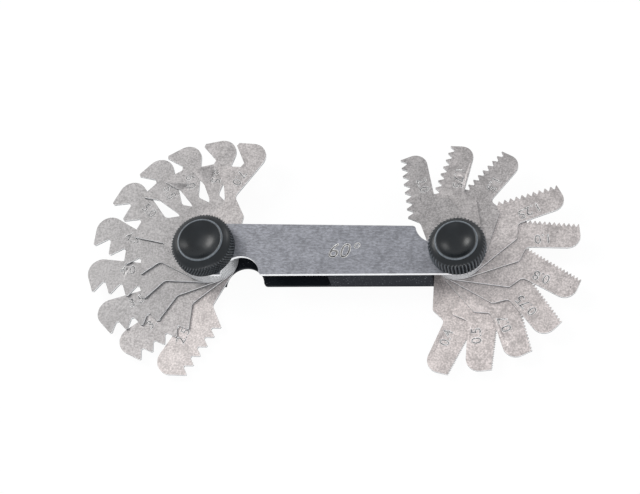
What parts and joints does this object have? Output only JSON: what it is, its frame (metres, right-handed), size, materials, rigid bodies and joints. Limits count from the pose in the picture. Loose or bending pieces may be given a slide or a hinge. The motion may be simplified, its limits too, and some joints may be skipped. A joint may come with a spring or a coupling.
{
  "type": "thread pitch gauge",
  "caption": "Folding thread pitch gauge: toothed steel leaves fan out from a clamped pivot at each end of a slim case with a steel front plate and knurled knobs.",
  "frame": {"origin": "on the flat rear face of the case, midway between the two pivots", "axes": "+X from the coarse pack's pivot to the fine pack's pivot, +Z out of the steel front plate, along both pivots"},
  "size_m": [0.1068, 0.0545, 0.0115],
  "materials": {
    "case_black": "satin black",
    "plate_steel": "satin ground",
    "leaf_steel": "satin ground",
    "screw_steel": "turned",
    "knob_black": "gloss black, knurled"
  },
  "bodies": {
    "case": {"case_body": "case_black", "front_plate": "plate_steel", "left_pivot_screw": "screw_steel", "right_pivot_screw": "screw_steel"},
    "left_knob": {"left_knob": "knob_black"},
    "right_knob": {"right_knob": "knob_black"},
    "leaf_7_0": {"leaf_7_0": "leaf_steel"},
    "leaf_6_5": {"leaf_6_5": "leaf_steel"},
    "leaf_6_0": {"leaf_6_0": "leaf_steel"},
    "leaf_5_5": {"leaf_5_5": "leaf_steel"},
    "leaf_5_0": {"leaf_5_0": "leaf_steel"},
    "leaf_4_5": {"leaf_4_5": "leaf_steel"},
    "leaf_4_0": {"leaf_4_0": "leaf_steel"},
    "leaf_3_5": {"leaf_3_5": "leaf_steel"},
    "leaf_3_0": {"leaf_3_0": "leaf_steel"},
    "leaf_2_5": {"leaf_2_5": "leaf_steel"},
    "leaf_2_0": {"leaf_2_0": "leaf_steel"},
    "leaf_1_75": {"leaf_1_75": "leaf_steel"},
    "leaf_1_5": {"leaf_1_5": "leaf_steel"},
    "leaf_1_25": {"leaf_1_25": "leaf_steel"},
    "leaf_1_0": {"leaf_1_0": "leaf_steel"},
    "leaf_0_8": {"leaf_0_8": "leaf_steel"},
    "leaf_0_75": {"leaf_0_75": "leaf_steel"},
    "leaf_0_7": {"leaf_0_7": "leaf_steel"},
    "leaf_0_5": {"leaf_0_5": "leaf_steel"},
    "leaf_0_4": {"leaf_0_4": "leaf_steel"}
  },
  "joints": [
    {"name": "left_knob_turn", "type": "hinge", "parent": "case", "child": "left_knob", "pos_m": [-0.0272, 0, 0.0069], "axis": [0, 0, 1], "range_deg": [0, 180]},
    {"name": "right_knob_turn", "type": "hinge", "parent": "case", "child": "right_knob", "pos_m": [0.0272, 0, 0.0069], "axis": [0, 0, 1], "range_deg": [0, 180]},
    {"name": "leaf_7_0_swing", "type": "hinge", "parent": "case", "child": "leaf_7_0", "pos_m": [-0.0272, 0, 0.0035], "axis": [0, 0, 1], "range_deg": [0, 272.8]},
    {"name": "leaf_6_5_swing", "type": "hinge", "parent": "case", "child": "leaf_6_5", "pos_m": [-0.0272, 0, 0.0035], "axis": [0, 0, 1], "range_deg": [-16.8, 256]},
    {"name": "leaf_6_0_swing", "type": "hinge", "parent": "case", "child": "leaf_6_0", "pos_m": [-0.0272, 0, 0.0035], "axis": [0, 0, 1], "range_deg": [-35.9, 236.9]},
    {"name": "leaf_5_5_swing", "type": "hinge", "parent": "case", "child": "leaf_5_5", "pos_m": [-0.0272, 0, 0.0035], "axis": [0, 0, 1], "range_deg": [-52.2, 220.6]},
    {"name": "leaf_5_0_swing", "type": "hinge", "parent": "case", "child": "leaf_5_0", "pos_m": [-0.0272, 0, 0.0035], "axis": [0, 0, 1], "range_deg": [-71.1, 201.7]},
    {"name": "leaf_4_5_swing", "type": "hinge", "parent": "case", "child": "leaf_4_5", "pos_m": [-0.0272, 0, 0.0035], "axis": [0, 0, 1], "range_deg": [-93.5, 179.3]},
    {"name": "leaf_4_0_swing", "type": "hinge", "parent": "case", "child": "leaf_4_0", "pos_m": [-0.0272, 0, 0.0035], "axis": [0, 0, 1], "range_deg": [-117.4, 155.4]},
    {"name": "leaf_3_5_swing", "type": "hinge", "parent": "case", "child": "leaf_3_5", "pos_m": [-0.0272, 0, 0.0035], "axis": [0, 0, 1], "range_deg": [-141.2, 131.6]},
    {"name": "leaf_3_0_swing", "type": "hinge", "parent": "case", "child": "leaf_3_0", "pos_m": [-0.0272, 0, 0.0035], "axis": [0, 0, 1], "range_deg": [-161.2, 111.6]},
    {"name": "leaf_2_5_swing", "type": "hinge", "parent": "case", "child": "leaf_2_5", "pos_m": [-0.0272, 0, 0.0035], "axis": [0, 0, 1], "range_deg": [-184.5, 88.3]},
    {"name": "leaf_2_0_swing", "type": "hinge", "parent": "case", "child": "leaf_2_0", "pos_m": [0.0272, 0, 0.0035], "axis": [0, 0, 1], "range_deg": [-214.7, 51.2]},
    {"name": "leaf_1_75_swing", "type": "hinge", "parent": "case", "child": "leaf_1_75", "pos_m": [0.0272, 0, 0.0035], "axis": [0, 0, 1], "range_deg": [-189.2, 76.7]},
    {"name": "leaf_1_5_swing", "type": "hinge", "parent": "case", "child": "leaf_1_5", "pos_m": [0.0272, 0, 0.0035], "axis": [0, 0, 1], "range_deg": [-164.3, 101.6]},
    {"name": "leaf_1_25_swing", "type": "hinge", "parent": "case", "child": "leaf_1_25", "pos_m": [0.0272, 0, 0.0035], "axis": [0, 0, 1], "range_deg": [-132.2, 133.7]},
    {"name": "leaf_1_0_swing", "type": "hinge", "parent": "case", "child": "leaf_1_0", "pos_m": [0.0272, 0, 0.0035], "axis": [0, 0, 1], "range_deg": [-109.5, 156.4]},
    {"name": "leaf_0_8_swing", "type": "hinge", "parent": "case", "child": "leaf_0_8", "pos_m": [0.0272, 0, 0.0035], "axis": [0, 0, 1], "range_deg": [-81.5, 184.4]},
    {"name": "leaf_0_75_swing", "type": "hinge", "parent": "case", "child": "leaf_0_75", "pos_m": [0.0272, 0, 0.0035], "axis": [0, 0, 1], "range_deg": [-59.4, 206.5]},
    {"name": "leaf_0_7_swing", "type": "hinge", "parent": "case", "child": "leaf_0_7", "pos_m": [0.0272, 0, 0.0035], "axis": [0, 0, 1], "range_deg": [-40.3, 225.6]},
    {"name": "leaf_0_5_swing", "type": "hinge", "parent": "case", "child": "leaf_0_5", "pos_m": [0.0272, 0, 0.0035], "axis": [0, 0, 1], "range_deg": [-20.2, 245.7]},
    {"name": "leaf_0_4_swing", "type": "hinge", "parent": "case", "child": "leaf_0_4", "pos_m": [0.0272, 0, 0.0035], "axis": [0, 0, 1], "range_deg": [0, 265.9]}
  ]
}
